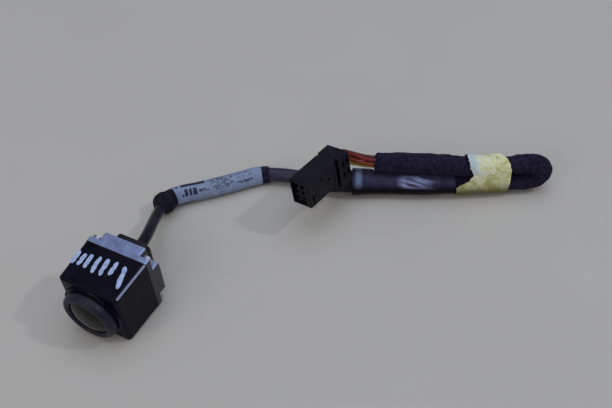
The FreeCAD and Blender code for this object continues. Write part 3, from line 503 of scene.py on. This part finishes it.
def vinyl_finish():
    """Glossy black vinyl tape: painted sheen on its upper side, a painted highlight near its start, and
    painted highlights along its wrinkled creases.
    """
    finish = Finish("vinyl_tape", Specular_IOR_Level=0.06)
    along, turn = finish.wrap_map()
    tone = finish.noise(4.0, 4.0, 0.6)
    black = finish.ramp(tone, (0.35, (0.003, 0.003, 0.005)), (0.7, (0.009, 0.008, 0.014)))
    # Painted sheen: the upper side is lighter where the overhead light falls, at random strength.
    upper = finish.band(turn, 0.02, 0.12, 0.30, 0.42)
    top_sheen = finish.math("MULTIPLY", upper, finish.ranged(tone, 0.3, 0.7, 0.5, 0.9))
    colour = finish.mixed(top_sheen, black, (0.072, 0.070, 0.140))
    slanted = finish.math("MULTIPLY_ADD", turn, 20.0, finish.math("MULTIPLY", along, 0.16))
    lengthwise = finish.combined(finish.math("MULTIPLY", along, 0.14), slanted)
    creases = finish.noise(1.0, 1.0, 0.5, at=lengthwise, warp=0.5)
    # Painted highlights along the creases where the tape is pulled and wrinkled.
    pulled = finish.math("MULTIPLY", finish.band(along, 16.5, 19.5, 25.0, 33.0),
                         finish.band(turn, 0.03, 0.09, 0.15, 0.24))
    crease_highlights = finish.math("MULTIPLY", pulled, finish.ranged(creases, 0.36, 0.60))
    colour = finish.mixed(crease_highlights, colour, (0.36, 0.40, 0.70))
    # Painted highlight on the upper side near the start of the tape.
    start_highlight = finish.band(along, 0.8, 1.8, 3.0, 4.2)
    colour = finish.mixed(finish.math("MULTIPLY", start_highlight, upper), colour, (0.20, 0.26, 0.42))
    finish.colour(colour)
    finish.rough(finish.noise(1.6, 4.0, 0.65), 0.16, 0.32)
    finish.bump(finish.noise(1.8, 2.0), 0.05)
    finish.bump(finish.noise(0.35, 3.0, at=finish.scaled((380.0, 1500.0, 1500.0))), 0.012)
    return finish.material


def make_vinyl():
    """Vinyl tape with overlap steps and wrinkles, and the foam padding that peeks out before it."""
    begin, end = cable_line.nearest(VINYL_START), cable_line.nearest(VINYL_END)

    def radius(distance, turn):
        s = (distance - begin) / MM
        places = round_places(distance, turn, 4.8)
        winding = (s / VINYL_PITCH + 0.8 * turn) % 1.0
        step = TAPE_STEP * np.clip(winding / 0.96, 0, 1)
        lengthwise = places * np.array([0.22, 1.0, 1.0])
        pulled = np.exp(-((s - 23.0) / 8.0) ** 2)
        wrinkles = 0.30 * pulled * wavering(lengthwise, 1.5, 4, 2)
        swell = 0.10 * wavering(places, 7.0, 5, 2)
        taper = 0.5 * np.clip((s - 28.0) / 6.5, 0, 1) ** 1.5
        bulge = 0.5 * np.exp(-(s / 7.0) ** 2)
        return MM * (VINYL_RADIUS + step + wrinkles + swell + bulge - taper)

    vinyl = wrap("vinyl_tape", cable_line, begin, end, radius, VINYL_BORE * MM, vinyl_finish(), 260, 96,
                 0.2 * MM)
    on_cable(vinyl, "vinyl_wrap")
    foam = moulded("padding_foam", (0.012, 0.011, 0.017), (0.034, 0.031, 0.045), (0.7, 0.9), 0.35, 0.08, 2.0,
                   Specular_IOR_Level=0.15)

    def foam_radius(distance, turn):
        bare = np.clip((begin - distance) / MM + 0.6, 0, 1)
        return MM * (FOAM_RADIUS + 0.6 * bare + 0.1 * wavering(round_places(distance, turn, 4.0), 1.6, 6))

    padding = wrap("padding", cable_line, cable_line.nearest(PADDING_START), end - 0.6 * MM, foam_radius,
                   FOAM_BORE * MM, foam.material, 140, 48, 0.7 * MM)
    return [vinyl, on_cable(padding, "foam_padding")]


def make_sleeve():
    """PVC sleeve over the lead, slightly uneven."""
    begin = cable_line.nearest(LABEL_START) - 1.0 * MM
    end = cable_line.nearest(PADDING_START) + 0.8 * MM
    finish = moulded("pvc_tube", (0.020, 0.018, 0.046), (0.040, 0.037, 0.080), (0.34, 0.48), 0.5, 0.01, 4.0,
                     Specular_IOR_Level=0.35)
    finish.bump(finish.noise(3.0, 2.0), 0.06)

    def radius(distance, turn):
        return MM * (SLEEVE_RADIUS + 0.05 * wavering(round_places(distance, turn, 2.7), 3.5, 7, 2))

    sleeve = wrap("pvc_tube", cable_line, begin, end, radius, SLEEVE_BORE * MM, finish.material, 120, 48,
                  0.2 * MM)
    return on_cable(sleeve, "pvc_sleeve")


def label_finish():
    """Film label with generic printing: a bar, blocks, a grey patch and rows of ticks."""
    finish = Finish("label_film", Specular_IOR_Level=0.45)
    u, turn = finish.wrap_map()
    v = finish.math("MULTIPLY", turn, 360.0)

    def inside(u_low, u_high, v_low, v_high):
        across = finish.math("COMPARE", u, (u_low + u_high) / 2, (u_high - u_low) / 2)
        around = finish.math("COMPARE", v, (v_low + v_high) / 2, (v_high - v_low) / 2)
        return finish.math("MULTIPLY", across, around)

    def ticks(step_u, step_v, share):
        """Cells of a grid, of which that share is dark."""
        cell = finish.combined(finish.math("FLOOR", finish.math("DIVIDE", u, step_u)),
                               finish.math("FLOOR", finish.math("DIVIDE", v, step_v)))
        white = finish.add("TexWhiteNoise")
        finish.links.new(cell, white.inputs["Vector"])
        return finish.math("LESS_THAN", white.outputs["Value"], share)

    paper = finish.ramp(finish.noise(3.5, 4.0, 0.6), (0.3, (0.21, 0.27, 0.43)), (0.7, (0.33, 0.41, 0.62)))
    worn = finish.ramp(finish.noise(0.8, 4.0, 0.7), (0.45, (1, 1, 1)), (0.75, (0.80, 0.76, 0.70)))
    colour = finish.mixed(0.6, paper, worn, "MULTIPLY")
    grey, ink = (0.080, 0.085, 0.135), (0.012, 0.016, 0.040)
    small = ticks(0.55, 11.0, 0.6)
    # Areas are u_low, u_high in mm and v_low, v_high in degrees.
    rows = [(14.9, 23.0, 28.0, 120.0, finish.math("MULTIPLY", small, 0.7), grey),
            (24.0, 30.6, 84.0, 106.0, finish.math("MULTIPLY", small, 0.7), grey),
            (24.0, 30.6, 64.0, 75.0, finish.math("MULTIPLY", small, 0.7), grey),
            (23.0, 30.6, 28.0, 46.0, finish.math("MULTIPLY", small, 0.95), grey),
            (9.6, 13.6, 40.0, 58.0, finish.math("MULTIPLY", small, 0.95), ink)]
    for low, high, near, far, strength, tone in rows:
        mask = finish.math("MULTIPLY", inside(low, high, near, far), strength)
        colour = finish.mixed(mask, colour, tone)
    solid = [(3.2, 12.4, 92.0, 122.0), (1.0, 1.7, 92.0, 112.0), (2.8, 3.6, 26.0, 44.0),
             (4.0, 5.4, 28.0, 72.0), (5.9, 7.0, 28.0, 72.0), (7.5, 9.0, 28.0, 72.0)]
    for area in solid:
        colour = finish.mixed(inside(*area), colour, ink)
    finish.colour(colour)
    finish.rough(finish.noise(1.2, 3.0), 0.42, 0.6)
    finish.bump(finish.noise(1.5, 2.0), 0.03)
    return finish.material


def make_label():
    """The label round the sleeve, which overlaps itself underneath, and the felt band after it."""
    begin, end = cable_line.nearest(LABEL_START), cable_line.nearest(LABEL_END)

    def radius(distance, turn):
        overlap = 0.14 * ((turn > 0.66) & (turn < 0.83))
        return MM * (LABEL_RADIUS + overlap + 0.04 * wavering(round_places(distance, turn, 3.5), 4.0, 8, 2))

    label = wrap("label_film", cable_line, begin, end, radius, LABEL_BORE * MM, label_finish(), 140, 72,
                 0.08 * MM)

    def band_radius(distance, turn):
        return MM * (BAND_RADIUS + 0.14 * wavering(round_places(distance, turn, 3.4), 1.1, 9))

    band = wrap("felt_band", cable_line, end, end + 3.0 * MM, band_radius, LABEL_BORE * MM, felt_finish(), 24,
                56, 0.35 * MM)
    return [on_cable(label, "cable_label"), on_cable(band, "tape_band")]


def make_boot():
    """Rough moulded knob where the lead enters its sleeve."""
    middle = cable_line.nearest(BOOT_MIDDLE)
    begin, end = middle - BOOT_REACH * MM, cable_line.nearest(LABEL_START) - 0.2 * MM

    def radius(distance, turn):
        s = (distance - middle) / MM
        ball = np.sqrt(np.clip(BOOT_RADIUS ** 2 - s ** 2, 0, None))
        skirt = np.where(s > 0, 3.4, 2.1 + 0.9 * np.clip((s + BOOT_REACH) / 2.5, 0, 1))
        body = np.maximum(ball, skirt)
        lumps = 0.28 * wavering(round_places(distance, turn, 3.8), 1.6, 10)
        return MM * (body + lumps * np.clip((ball - 1.5) / 2, 0, 1))

    finish = moulded("boot_rubber", (0.004, 0.004, 0.008), (0.020, 0.017, 0.030), (0.6, 0.85), 0.35,
                     0.10, 1.4, Specular_IOR_Level=0.15)
    boot = wrap("boot", cable_line, begin, end, radius, BOOT_BORE * MM, finish.material, 60, 56, 0.15 * MM)
    return on_cable(boot, "sleeve_boot")


# ---------------------------------------------------------------- masking tape

# The tape's frame: where its lower run starts, along both runs, and up from one run to the other.
TAPE_START = Vector((0.08633, 0.1001, 0.00482))
TAPE_HEADING = Vector((18.3, 10.4, -0.25)).normalized()
TAPE_ACROSS = Vector((0.05, 0.9, 7.6))
TAPE_ACROSS = (TAPE_ACROSS - TAPE_HEADING * TAPE_ACROSS.dot(TAPE_HEADING)).normalized()
TAPE_FRONT = TAPE_HEADING.cross(TAPE_ACROSS)
TAPE_WIDTH, TAPE_SPREAD, TAPE_RADIUS, TAPE_THICK = 19.6 * MM, 7.65 * MM, 4.42 * MM, 0.16 * MM


def creased(places, size, seed):
    """Ridged noise, like folds in paper, from 0 to about 1."""
    return 1 - np.abs(wavering(places, size, seed, 2)) * 1.6


def tape_section(turn):
    """Places (across, toward the front) and outward directions round one run above the other."""
    flat, arc = TAPE_SPREAD, math.pi * TAPE_RADIUS
    passed = turn * 2 * (flat + arc)
    corners = np.cumsum([0, flat, arc, flat, arc])
    share = [np.interp(passed, (start, stop), (0, 1)) for start, stop in zip(corners, corners[1:])]
    across = flat * (share[0] - share[2])
    angle = math.pi * (share[1] + share[3]) - math.pi / 2
    out_across, out_front = np.cos(angle), np.sin(angle)
    return across + TAPE_RADIUS * out_across, TAPE_RADIUS * out_front, out_across, out_front


def paper_finish():
    """Crepe masking tape: pale yellow and whiter, with browner painted shade low down and a pale bluish
    painted highlight at its loose flap.
    """
    finish = Finish("masking_paper", Specular_IOR_Level=0.25)
    broad = finish.noise(5.0, 3.0, 0.55, warp=1.0)
    fine = finish.noise(0.5, 4.0, 0.65)
    base = finish.ramp(broad, (0.33, (0.60, 0.60, 0.24)), (0.45, (0.90, 0.92, 0.50)),
                       (0.62, (1.0, 1.0, 0.80)))
    crepe = finish.ramp(fine, (0.35, (0.75, 0.74, 0.62)), (0.65, (1, 1, 1)))
    colour = finish.mixed(0.3, base, crepe, "MULTIPLY")
    along, turn = finish.wrap_map()
    # Painted shade: the underside of the lower run is browner and darker.
    low = finish.ranged(turn, 0.60, 0.70, 0.0, 0.95)
    colour = finish.mixed(low, colour, (0.15, 0.14, 0.04))
    # Painted highlight, pale and bluish, on the upper run near the left edge where the flap lifts.
    near_edge, upper = finish.ranged(along, 3.0, 5.5, 0.85, 0.0), finish.ranged(turn, 0.46, 0.52, 1.0, 0.0)
    colour = finish.mixed(finish.math("MULTIPLY", near_edge, upper), colour, (0.62, 0.76, 0.82))
    finish.colour(colour)
    finish.rough(fine, 0.55, 0.75)
    finish.bump(finish.noise(0.45, 3.0), 0.05)
    finish.bump(finish.noise(2.0, 3.0, 0.6, warp=1.2), 0.2)
    return finish.material


# How far each edge of the tape lies along it, in mm, at shares of a turn round the two runs.
LEFT_EDGE = [(0.0, 0.4), (0.20, 1.6), (0.26, 2.0), (0.40, 1.9), (0.47, 3.0), (0.51, 3.8), (0.58, 2.6),
             (0.63, -0.2), (0.66, -1.5), (0.80, -1.6), (1.0, 0.4)]
RIGHT_EDGE = [(0.0, 16.5), (0.20, 13.0), (0.27, 14.2), (0.34, 15.6), (0.42, 17.4), (0.48, 18.0),
              (0.80, 18.0), (1.0, 16.5)]
TAPE_ROWS, TAPE_AROUND = 90, 220


def make_masking_tape():
    """A crumpled turn of paper tape round both runs, torn at its left edge."""
    turns = np.arange(TAPE_AROUND) / TAPE_AROUND
    width = TAPE_WIDTH / MM
    across, front, out_across, out_front = tape_section(turns)
    share = np.linspace(0, 1, TAPE_ROWS)
    span, turn = np.meshgrid(share, turns, indexing="ij")
    seam = np.stack([span * width, across / MM + 0 * span, front / MM + 0 * span], -1)
    torn = 0.45 * wavering(seam[:1] * np.array([0.2, 1, 1]), 1.6, 21)[0]
    left = np.interp(turns, *zip(*LEFT_EDGE)) + torn
    right = np.interp(turns, *zip(*RIGHT_EDGE)) + 0.25 * wavering(seam[:1], 3.0, 22)[0]
    along = left + (right - left) * span
    skewed = seam + seam[..., 1:2] * np.array([0.6, 0, 0])
    folds = 0.60 * (creased(skewed * np.array([1.0, 0.6, 0.6]), 5.0, 23) - 0.7)
    folds = folds + 0.25 * wavering(seam, 1.8, 24)
    waist = np.exp(-((along - 9.5) / 4.5) ** 2) * np.exp(-((turn - 0.30) / 0.10) ** 2)
    flap = np.exp(-((along - 2.2) / 2.4) ** 2) * np.exp(-((turn - 0.36) / 0.09) ** 2)
    base = (np.array(TAPE_START) + (along * MM)[..., None] * np.array(TAPE_HEADING)
            + across[:, None] * np.array(TAPE_ACROSS) + front[:, None] * np.array(TAPE_FRONT))
    off_floor = np.clip((base[..., 2] - 0.8 * MM) / (2.5 * MM), 0, 1)
    lift = MM * (0.12 + np.clip(folds, -0.22, 0.7) * off_floor - 0.55 * waist + 1.3 * flap)
    outward = out_across[:, None] * np.array(TAPE_ACROSS) + out_front[:, None] * np.array(TAPE_FRONT)
    place = base + lift[..., None] * outward
    under = (place - TAPE_THICK * outward[None])[::-1]
    rows = np.concatenate([place, under])
    distances = np.concatenate([share, share[::-1]]) * width
    tape = skin("paper_tape", rows, distances, paper_finish(), sharp=60)
    on_cable(tape, "masking_tape")
    return tape


on_the_lead = [make_felt(), *make_vinyl(), make_sleeve(), *make_label(), make_boot()]
make_masking_tape()

# ---------------------------------------------------------------- finishes of the CAD solids


def dress(material, *nodes):
    """Give the material to the CAD solids of those names."""
    for node in nodes:
        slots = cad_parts[node].data.materials
        slots.clear()
        slots.append(material)


def cast_metal():
    """Die-cast aluminium, blasted and faintly stained, with painted shade on its upright sides, which are
    also less metallic.
    """
    finish = Finish("cast_metal")
    broad, fine = finish.noise(3.2, 3.0, 0.5), finish.noise(0.3, 3.0, 0.7)
    tone = finish.ramp(broad, (0.30, (0.22, 0.27, 0.45)), (0.50, (0.30, 0.36, 0.60)),
                       (0.72, (0.38, 0.45, 0.72)))
    stained = finish.ramp(finish.noise(0.9, 4.0, 0.7), (0.30, (0.70, 0.68, 0.66)), (0.45, (1, 1, 1)))
    clean = finish.mixed(0.6, tone, stained, "MULTIPLY")
    # Painted shade: the upright sides are darker and less metallic than the top.
    side_shade = finish.mixed(finish.noise(1.2, 4.0, 0.7), (0.012, 0.012, 0.014), (0.085, 0.085, 0.10))
    upward = finish.facing((0.0, 0.0, 1.0))
    finish.colour(finish.mixed(finish.ranged(upward, 0.3, 0.8), side_shade, clean))
    finish.links.new(finish.ranged(upward, 0.3, 0.8, 0.25, 0.7), finish.shader.inputs["Metallic"])
    finish.rough(finish.noise(0.8, 3.0), 0.34, 0.5)
    finish.bump(fine, 0.02)
    finish.bump(broad, 0.05)
    return finish.material


def housing_black():
    """Black moulded housing, with a painted highlight along its upper edge on the +X side."""
    finish = moulded("housing_black", (0.003, 0.003, 0.007), (0.009, 0.008, 0.018), (0.22, 0.30), 0.22,
                     0.004, 6.0, Specular_IOR_Level=0.08)
    split = finish.add("SeparateXYZ")
    finish.links.new(finish.millimetres, split.inputs[0])
    # Painted highlight along the rounded upper edge on the +X side, outside the front collar.
    edge_highlight = finish.ranged(finish.facing((0.707, 0.0, 0.707)), 0.92, 0.99)
    outside_collar = finish.ranged(split.outputs[0], 10.4, 10.9)
    finish.over(finish.math("MULTIPLY", edge_highlight, outside_collar), (0.34, 0.39, 0.57))
    return finish.material


def plug_black():
    """Black moulded plug, with painted shade on the faces toward its mating end."""
    finish = moulded("plug_black", (0.004, 0.003, 0.007), (0.013, 0.011, 0.022), (0.38, 0.55), 0.25, 0.02,
                     3.0, Specular_IOR_Level=0.2)
    # Painted shade: faces toward the mating end are made almost black.
    mating_end_shade = finish.ranged(finish.facing(PLUG_TURN @ Vector((0, -1, 0))), 0.6, 0.9, 0.0, 0.8)
    finish.over(mating_end_shade, (0.001, 0.001, 0.001))
    return finish.material


def glass(name, tint, bending=1.5):
    """Lens glass with dust specks that dull its gloss here and there."""
    finish = Finish(name, Transmission_Weight=1.0, IOR=bending)
    dust = finish.noise(0.6, 4.0, 0.7)
    finish.colour(finish.ramp(dust, (0.4, tint), (0.8, tuple(c * 0.8 for c in tint))))
    finish.rough(dust, 0.03, 0.08)
    finish.bump(finish.noise(4.0, 1.0), 0.01)
    return finish.material


def metal(name, dark, light, rough=(0.25, 0.45)):
    return moulded(name, dark, light, rough, 0.3, 0.01, 1.5, Metallic=1.0).material


def dress_head():
    """Finishes of what shows on the camera head."""
    dress(housing_black(), "front_housing")
    dress(cast_metal(), "rear_housing")
    dress(moulded("plate_black", (0.006, 0.006, 0.009), (0.014, 0.013, 0.019), (0.4, 0.6),
                  Specular_IOR_Level=0.3).material, "cable_plate")
    dress(moulded("bezel_black", (0.014, 0.013, 0.024), (0.030, 0.028, 0.050), (0.34, 0.5), 0.3, 0.012,
                  4.0, Specular_IOR_Level=0.2).material, "lens_bezel")
    dress(glass("front_glass", (0.035, 0.040, 0.020), bending=1.3), "front_lens")
    dress(moulded("black_rubber", (0.010, 0.010, 0.012), (0.024, 0.022, 0.028), (0.6, 0.85), 0.4,
                  0.03).material, "barrel_ring", "housing_gasket", "cable_grommet")
    dress(metal("zinc_screw", (0.30, 0.30, 0.34), (0.52, 0.53, 0.58)), "case_screws", "plate_screws",
          "board_screws")


def dress_optics():
    """Finishes of the barrel, the lenses behind the front one, and the sensor."""
    dress(moulded("barrel_black", (0.003, 0.003, 0.004), (0.008, 0.007, 0.009), (0.4, 0.7),
                  Specular_IOR_Level=0.2).material,
          "lens_barrel", "front_spacer", "rear_spacer", "lens_retainer", "light_baffle")
    dress(glass("inner_glass", (0.88, 0.95, 0.86)), "second_lens", "third_lens", "fourth_lens", "fifth_lens")
    dress(glass("filter_glass", (0.75, 0.95, 0.90)), "infrared_filter", "sensor_glass")
    dress(metal("silicon", (0.10, 0.11, 0.16), (0.18, 0.16, 0.26), (0.1, 0.2)), "image_sensor")


def dress_electronics():
    """Finishes of the boards, what is on them, and the leads inside the head."""
    dress(moulded("board_green", (0.010, 0.045, 0.020), (0.020, 0.085, 0.035), (0.3, 0.5), 0.6,
                  0.02).material, "sensor_board", "rear_board")
    dress(moulded("chip_black", (0.012, 0.012, 0.012), (0.030, 0.030, 0.030), (0.5, 0.7)).material,
          "image_processor", "video_chip", "link_socket", "link_plug", "board_components")
    dress(moulded("thermal_grey", (0.18, 0.20, 0.22), (0.26, 0.29, 0.32), (0.7, 0.9)).material,
          "thermal_pad")
    dress(moulded("lead_insulation", (0.20, 0.03, 0.02), (0.50, 0.40, 0.10), (0.4, 0.6), 0.3, 0.01,
                  0.8).material, "inner_leads")
    dress(metal("brass_spacer", (0.42, 0.30, 0.12), (0.60, 0.46, 0.20)), "board_spacers")


def dress_plug():
    dress(plug_black(), "plug_housing", "plug_cover", "plug_latch")
    dress(metal("tinned_terminal", (0.05, 0.05, 0.05), (0.12, 0.11, 0.10)), "plug_terminals")
    dress(moulded("seal_rubber", (0.030, 0.012, 0.010), (0.060, 0.024, 0.018), (0.5, 0.7)).material,
          "wire_seal")


dress_head()
dress_optics()
dress_electronics()
dress_plug()

# ---------------------------------------------------------------- paint marks on the head

# Ends of each stroke on the top face, in millimetres.
MARKS = [[(-11.0, 1.9), (-10.6, -3.6)], [(-8.4, 1.6), (-8.3, -3.4)], [(-6.2, 2.2), (-5.9, -3.4)],
         [(-3.2, 2.6), (-2.5, -4.0)], [(-0.2, 3.0), (0.6, -3.8)], [(3.0, 3.2), (3.4, -2.4)],
         [(6.4, 2.8), (8.9, -5.6)]]
STROKE_STEPS, STROKE_LANES = 22, 7
# The black housing's top face, in millimetres: its height at the back, where that is, and its slope.
TOP_BACK_HEIGHT, TOP_BACK, TOP_SLOPE = 24.0, 5.8, 0.7 / 15.6


def top_height(y):
    """Height of the housing's top face, which falls towards the front."""
    return (TOP_BACK_HEIGHT + (y - TOP_BACK) * TOP_SLOPE) * MM


def make_marks():
    """Plain slanted brush strokes in white paint, thin domed films on the top face."""
    finish = moulded("white_paint", (0.30, 0.42, 0.75), (0.62, 0.74, 1.0), (0.45, 0.65), 0.3, 0.03, 1.5)
    vertices, faces = [], []
    for number, stroke in enumerate(MARKS):
        start, stop = (Vector((*p, 0)) for p in stroke)
        heading = (stop - start).normalized()
        across = Vector((-heading.y, heading.x, 0))
        first = len(vertices)
        for step in range(STROKE_STEPS):
            share = step / (STROKE_STEPS - 1)
            middle = start.lerp(stop, share)
            shift = Vector((number * 3.1, step * 0.35, 0))
            end_taper = math.sqrt(max(0.0, 1 - (2 * share - 1) ** 6))
            half = end_taper * (0.75 + 0.22 * noise.noise(shift))
            middle = middle + across * 0.25 * noise.noise(shift * 0.5 + Vector((9, 0, 0)))
            for lane in range(STROKE_LANES):
                side = 2 * lane / (STROKE_LANES - 1) - 1
                place = middle + across * side * half
                thick = 0.06 * (1 - side ** 4) * min(1, 8 * share, 8 * (1 - share)) + 0.004
                vertices.append((place.x * MM, place.y * MM, top_height(place.y) + thick * MM))
        for step in range(STROKE_STEPS - 1):
            for lane in range(STROKE_LANES - 1):
                a = first + step * STROKE_LANES + lane
                faces.append((a, a + 1, a + STROKE_LANES + 1, a + STROKE_LANES))
    mesh = bpy.data.meshes.new("paint_marks")
    mesh.from_pydata(vertices, [], faces)
    mesh.shade_smooth()
    mesh.materials.append(finish.material)
    marks = bpy.data.objects.new("paint_marks", mesh)
    bpy.context.scene.collection.objects.link(marks)
    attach(marks, "camera")


make_marks()

# ---------------------------------------------------------------- floor and light


def make_floor():
    finish = Finish("floor", Roughness=0.9, Specular_IOR_Level=0.1)
    patches = finish.noise(60.0, 2.0)
    finish.colour(finish.ramp(patches, (0.3, (0.65, 0.62, 0.56)), (0.7, (0.67, 0.64, 0.58))))
    mesh = bpy.data.meshes.new("floor")
    half, low = 3.0, -0.05 * MM
    corners = [(-half, -half, low), (half, -half, low), (half, half, low), (-half, half, low)]
    mesh.from_pydata(corners, [], [(0, 1, 2, 3)])
    mesh.materials.append(finish.material)
    floor = bpy.data.objects.new("floor", mesh)
    bpy.context.scene.collection.objects.link(floor)


# The point that every lamp faces, and each lamp's offset from it, size, power and colour.
LIT_MIDDLE = Vector((0.04, 0.06, 0.0))
LAMPS = {"window": (Vector((0.71, 0.30, 0.87)), 0.07, 1.5, (0.90, 0.94, 1.0)),
         "ceiling": (Vector((0.0, 0.15, 1.30)), 1.3, 6.4, (0.74, 0.81, 1.0)),
         "front": (Vector((-0.25, -0.90, 0.65)), 0.8, 2.2, (1.0, 0.97, 0.88))}
WORLD_COLOUR, WORLD_STRENGTH = (0.86, 0.89, 1.0, 1), 0.20


def make_light():
    for name, (offset, size, power, colour) in LAMPS.items():
        data = bpy.data.lights.new(name, "AREA")
        data.size, data.energy, data.color = size, power, colour
        lamp = bpy.data.objects.new(name, data)
        bpy.context.scene.collection.objects.link(lamp)
        lamp.location = LIT_MIDDLE + offset
        lamp.rotation_mode = "QUATERNION"
        lamp.rotation_quaternion = (-offset).to_track_quat("-Z", "Y")
    world = bpy.data.worlds.new("studio")
    world.use_nodes = True
    background = world.node_tree.nodes["Background"]
    background.inputs["Color"].default_value = WORLD_COLOUR
    background.inputs["Strength"].default_value = WORLD_STRENGTH
    bpy.context.scene.world = world


make_floor()
make_light()
